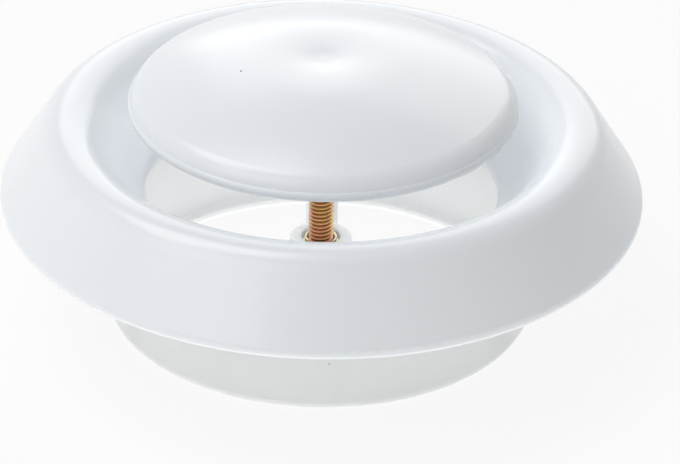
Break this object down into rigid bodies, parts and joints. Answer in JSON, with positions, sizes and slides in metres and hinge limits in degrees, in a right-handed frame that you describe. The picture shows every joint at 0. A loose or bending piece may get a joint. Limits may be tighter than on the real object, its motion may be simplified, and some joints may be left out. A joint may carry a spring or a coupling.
{
  "type": "round vent cover",
  "caption": "Round disc valve for an air duct: a dished disc on a screw hangs over a ring with a funnel throat and spigot, and turning the disc sets the air gap.",
  "frame": {"origin": "middle of the spigot's foot, on the plane it stands on", "axes": "+Z along the screw's axis from the foot towards the disc, one spider arm along +Y"},
  "size_m": [0.148, 0.148, 0.0643],
  "materials": {
    "coated_steel": "smooth white powder coat with a soft gloss",
    "moulded_plastic": "satin white injection-moulded plastic",
    "brass": "turned brass",
    "plated_steel": "yellow-passivated zinc plate on rolled thread"
  },
  "bodies": {
    "housing": {"valve_ring": "coated_steel", "mounting_collar": "moulded_plastic", "hub_insert": "brass", "lock_nut": "plated_steel"},
    "screw": {"adjusting_screw": "plated_steel"},
    "disc": {"valve_disc": "coated_steel"}
  },
  "joints": [
    {"name": "screw_travel", "type": "slide", "parent": "housing", "child": "screw", "axis": [0, 0, 1], "range_m": [-0.0151, 0.0021]},
    {"name": "disc_turn", "type": "hinge", "parent": "screw", "child": "disc", "pos_m": [0, 0, 0.061], "axis": [0, 0, 1], "range_deg": [-5400, 720]}
  ],
  "couplings": [
    {"joint": "screw_travel", "follows": "disc_turn", "m_per_rad": 0.00015915}
  ]
}
